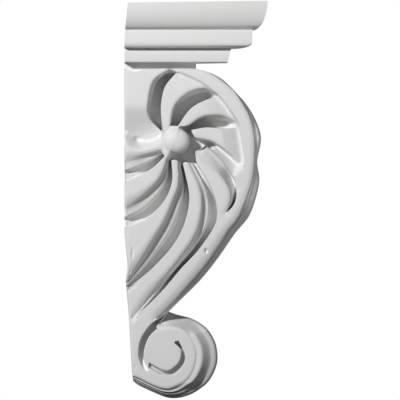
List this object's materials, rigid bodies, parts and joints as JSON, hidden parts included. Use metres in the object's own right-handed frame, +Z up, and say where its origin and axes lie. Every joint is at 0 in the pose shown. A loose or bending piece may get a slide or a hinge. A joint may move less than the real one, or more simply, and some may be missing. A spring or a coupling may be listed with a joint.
{
  "type": "corbel",
  "caption": "Wall corbel with a stepped moulded cap over an S-shaped scroll bracket, its sides carved as a whirl of ribs round a boss, cast in one piece.",
  "frame": {"origin": "on the flat back, at the middle of the width, at the height of the joint between the cap and the scroll", "axes": "+X out from the wall, +Y across the width, +Z up"},
  "size_m": [0.1287, 0.1274, 0.3575],
  "materials": {
    "primed_white": "factory-primed white on a light moulded casting, matt, ready to paint"
  },
  "bodies": {
    "root": {"corbel": "primed_white"}
  },
  "joints": []
}
